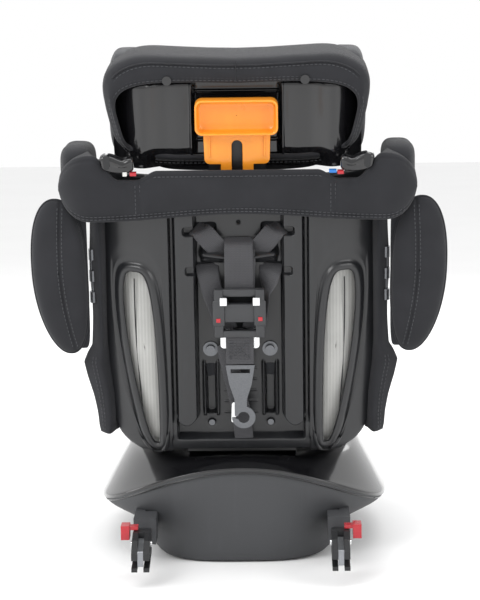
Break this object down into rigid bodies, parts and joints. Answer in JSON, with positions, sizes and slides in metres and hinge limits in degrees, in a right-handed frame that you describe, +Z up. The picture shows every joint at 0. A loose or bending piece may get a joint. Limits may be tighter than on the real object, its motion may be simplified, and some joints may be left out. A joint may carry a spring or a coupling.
{
  "type": "convertible car seat",
  "caption": "Swivelling convertible car seat on a base with rigid anchor connectors, fold-out side pods, sliding headrest, harness and top tether.",
  "frame": {"origin": "on the floor, on the axis that the seat swivels about", "axes": "+X is the child's left, +Y is the way the child faces, +Z is up"},
  "size_m": [0.597, 0.693, 0.7601],
  "materials": {
    "base_plastic": "matte",
    "gloss_black": "gloss",
    "black_plastic": "satin",
    "grey_plastic": "matte",
    "shell_plastic": "satin",
    "glide": "satin",
    "rubber": "matte",
    "red_plastic": "gloss",
    "orange_plastic": "gloss",
    "steel": "satin",
    "tether_steel": "satin",
    "chrome": "polished",
    "liner": "matte",
    "fabric": "woven",
    "webbing": "woven"
  },
  "bodies": {
    "base": {"base_shell": "base_plastic", "base_cover": "gloss_black", "swivel_drum": "black_plastic", "glide_ring": "glide", "grip_pads": "rubber", "arm_guides": "base_plastic"},
    "slide_lock": {"slide_lock_button": "red_plastic"},
    "anchor_frame": {"anchor_frame": "steel", "connector_left": "black_plastic", "connector_right": "black_plastic", "connector_pins": "chrome"},
    "jaw_left": {"jaw_left": "steel"},
    "jaw_right": {"jaw_right": "steel"},
    "release_left": {"release_tab_left": "red_plastic"},
    "release_right": {"release_tab_right": "red_plastic"},
    "turntable": {"turntable": "black_plastic", "swivel_retainer": "steel", "recline_pin": "steel"},
    "rotation_lever": {"rotation_lever": "grey_plastic"},
    "seat": {"back_shell": "shell_plastic", "side_wings": "shell_plastic", "seat_pan": "shell_plastic", "window_liners": "liner", "recline_arc": "steel", "shell_hardware": "steel", "seat_cushion": "fabric", "back_cushion": "fabric", "torso_bolsters": "fabric", "thigh_bolsters": "fabric", "shoulder_yoke": "fabric", "side_flaps": "fabric", "harness_straps": "webbing", "shoulder_pads": "fabric", "lap_straps": "webbing", "crotch_strap": "webbing", "buckle": "black_plastic", "harness_adjuster": "black_plastic", "rear_straps": "webbing", "splitter_plate": "chrome", "tether_web": "webbing", "tether_adjuster": "tether_steel", "tether_hook": "tether_steel", "belt_guides": "gloss_black", "guide_markers": "red_plastic", "pod_hinges": "steel"},
    "recline_lever": {"recline_lever": "grey_plastic"},
    "buckle_button": {"buckle_button": "red_plastic"},
    "harness_button": {"harness_button": "red_plastic"},
    "tether_gate": {"tether_gate": "chrome"},
    "belt_latch_left": {"belt_latch_left": "black_plastic"},
    "belt_latch_right": {"belt_latch_right": "black_plastic"},
    "headrest": {"headrest_shell": "gloss_black", "headrest_stem": "black_plastic", "headrest_pad": "fabric", "headrest_cover": "fabric", "headrest_snaps": "gloss_black"},
    "headrest_lever": {"headrest_lever": "orange_plastic"},
    "pod_left": {"pod_left": "fabric"},
    "pod_right": {"pod_right": "fabric"}
  },
  "joints": [
    {"name": "anchor_slide", "type": "slide", "parent": "base", "child": "anchor_frame", "axis": [0, -1, 0], "range_m": [-0.025, 0.015]},
    {"name": "slide_lock_press", "type": "slide", "parent": "base", "child": "slide_lock", "axis": [0, -1, 0], "range_m": [0, 0.006], "stiffness_N_per_m": 600},
    {"name": "anchor_jaw_left", "type": "hinge", "parent": "anchor_frame", "child": "jaw_left", "pos_m": [-0.14, -0.371, 0.056], "axis": [1, 0, 0], "range_deg": [-25, 0], "stiffness_Nm_per_rad": 0.6},
    {"name": "release_left_slide", "type": "slide", "parent": "anchor_frame", "child": "release_left", "axis": [0, 1, 0], "range_m": [0, 0.008], "stiffness_N_per_m": 500},
    {"name": "anchor_jaw_right", "type": "hinge", "parent": "anchor_frame", "child": "jaw_right", "pos_m": [0.14, -0.371, 0.056], "axis": [1, 0, 0], "range_deg": [-25, 0], "stiffness_Nm_per_rad": 0.6},
    {"name": "release_right_slide", "type": "slide", "parent": "anchor_frame", "child": "release_right", "axis": [0, 1, 0], "range_m": [0, 0.008], "stiffness_N_per_m": 500},
    {"name": "seat_swivel", "type": "hinge", "parent": "base", "child": "turntable", "pos_m": [0, 0, 0], "axis": [0, 0, 1], "continuous": true},
    {"name": "rotation_lever_pull", "type": "slide", "parent": "turntable", "child": "rotation_lever", "axis": [0, 1, 0], "range_m": [0, 0.01], "stiffness_N_per_m": 600},
    {"name": "seat_recline", "type": "hinge", "parent": "turntable", "child": "seat", "pos_m": [0, -0.178, 0.18], "axis": [1, 0, 0], "range_deg": [0, 12]},
    {"name": "recline_lever_pull", "type": "slide", "parent": "seat", "child": "recline_lever", "axis": [0, 1, 0], "range_m": [0, 0.012], "stiffness_N_per_m": 600},
    {"name": "buckle_press", "type": "slide", "parent": "seat", "child": "buckle_button", "axis": [0, -0.8829, -0.4695], "range_m": [0, 0.004], "stiffness_N_per_m": 800},
    {"name": "harness_release_press", "type": "slide", "parent": "seat", "child": "harness_button", "axis": [0, -1, 0], "range_m": [0, 0.0045], "stiffness_N_per_m": 800},
    {"name": "belt_latch_left_flip", "type": "hinge", "parent": "seat", "child": "belt_latch_left", "pos_m": [-0.182, -0.33692, 0.59574], "axis": [0, 0.9816, 0.1908], "range_deg": [0, 35], "stiffness_Nm_per_rad": 0.02},
    {"name": "belt_latch_right_flip", "type": "hinge", "parent": "seat", "child": "belt_latch_right", "pos_m": [0.182, -0.33692, 0.59574], "axis": [0, 0.9816, 0.1908], "range_deg": [-35, 0], "stiffness_Nm_per_rad": 0.02},
    {"name": "tether_gate_flip", "type": "hinge", "parent": "seat", "child": "tether_gate", "pos_m": [-0.009, -0.25573, 0.23358], "axis": [0, 0.9816, 0.1908], "range_deg": [-25, 0], "stiffness_Nm_per_rad": 0.02},
    {"name": "headrest_height", "type": "slide", "parent": "seat", "child": "headrest", "axis": [0, -0.1908, 0.9816], "range_m": [-0.042, 0.012]},
    {"name": "headrest_lever_pull", "type": "slide", "parent": "headrest", "child": "headrest_lever", "axis": [0, -0.1908, 0.9816], "range_m": [0, 0.008], "stiffness_N_per_m": 900},
    {"name": "pod_left_fold", "type": "hinge", "parent": "seat", "child": "pod_left", "pos_m": [-0.211, -0.25352, 0.42349], "axis": [0, -0.1908, 0.9816], "range_deg": [-88, 0]},
    {"name": "pod_right_fold", "type": "hinge", "parent": "seat", "child": "pod_right", "pos_m": [0.211, -0.25352, 0.42349], "axis": [0, -0.1908, 0.9816], "range_deg": [0, 88]}
  ]
}
